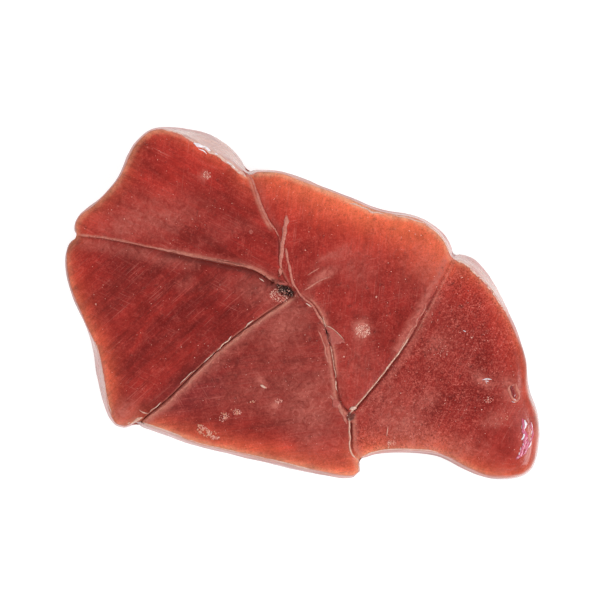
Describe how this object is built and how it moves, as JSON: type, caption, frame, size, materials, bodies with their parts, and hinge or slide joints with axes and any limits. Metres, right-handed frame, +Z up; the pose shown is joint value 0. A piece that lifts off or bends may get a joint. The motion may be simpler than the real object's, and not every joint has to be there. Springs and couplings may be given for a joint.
{
  "type": "raw tuna steak",
  "caption": "Raw tuna steak: a flat red slab of fish whose blocks of muscle meet at pale seams, with rounded edges and a flat underside.",
  "frame": {"origin": "on the underside, below the middle of the slab's box", "axes": "+X along the slab's length, +Y across it, +Z up out of the cut face"},
  "size_m": [0.1498, 0.1113, 0.0182],
  "materials": {
    "flesh": null
  },
  "bodies": {
    "root": {"tuna_steak": "flesh"}
  },
  "joints": []
}
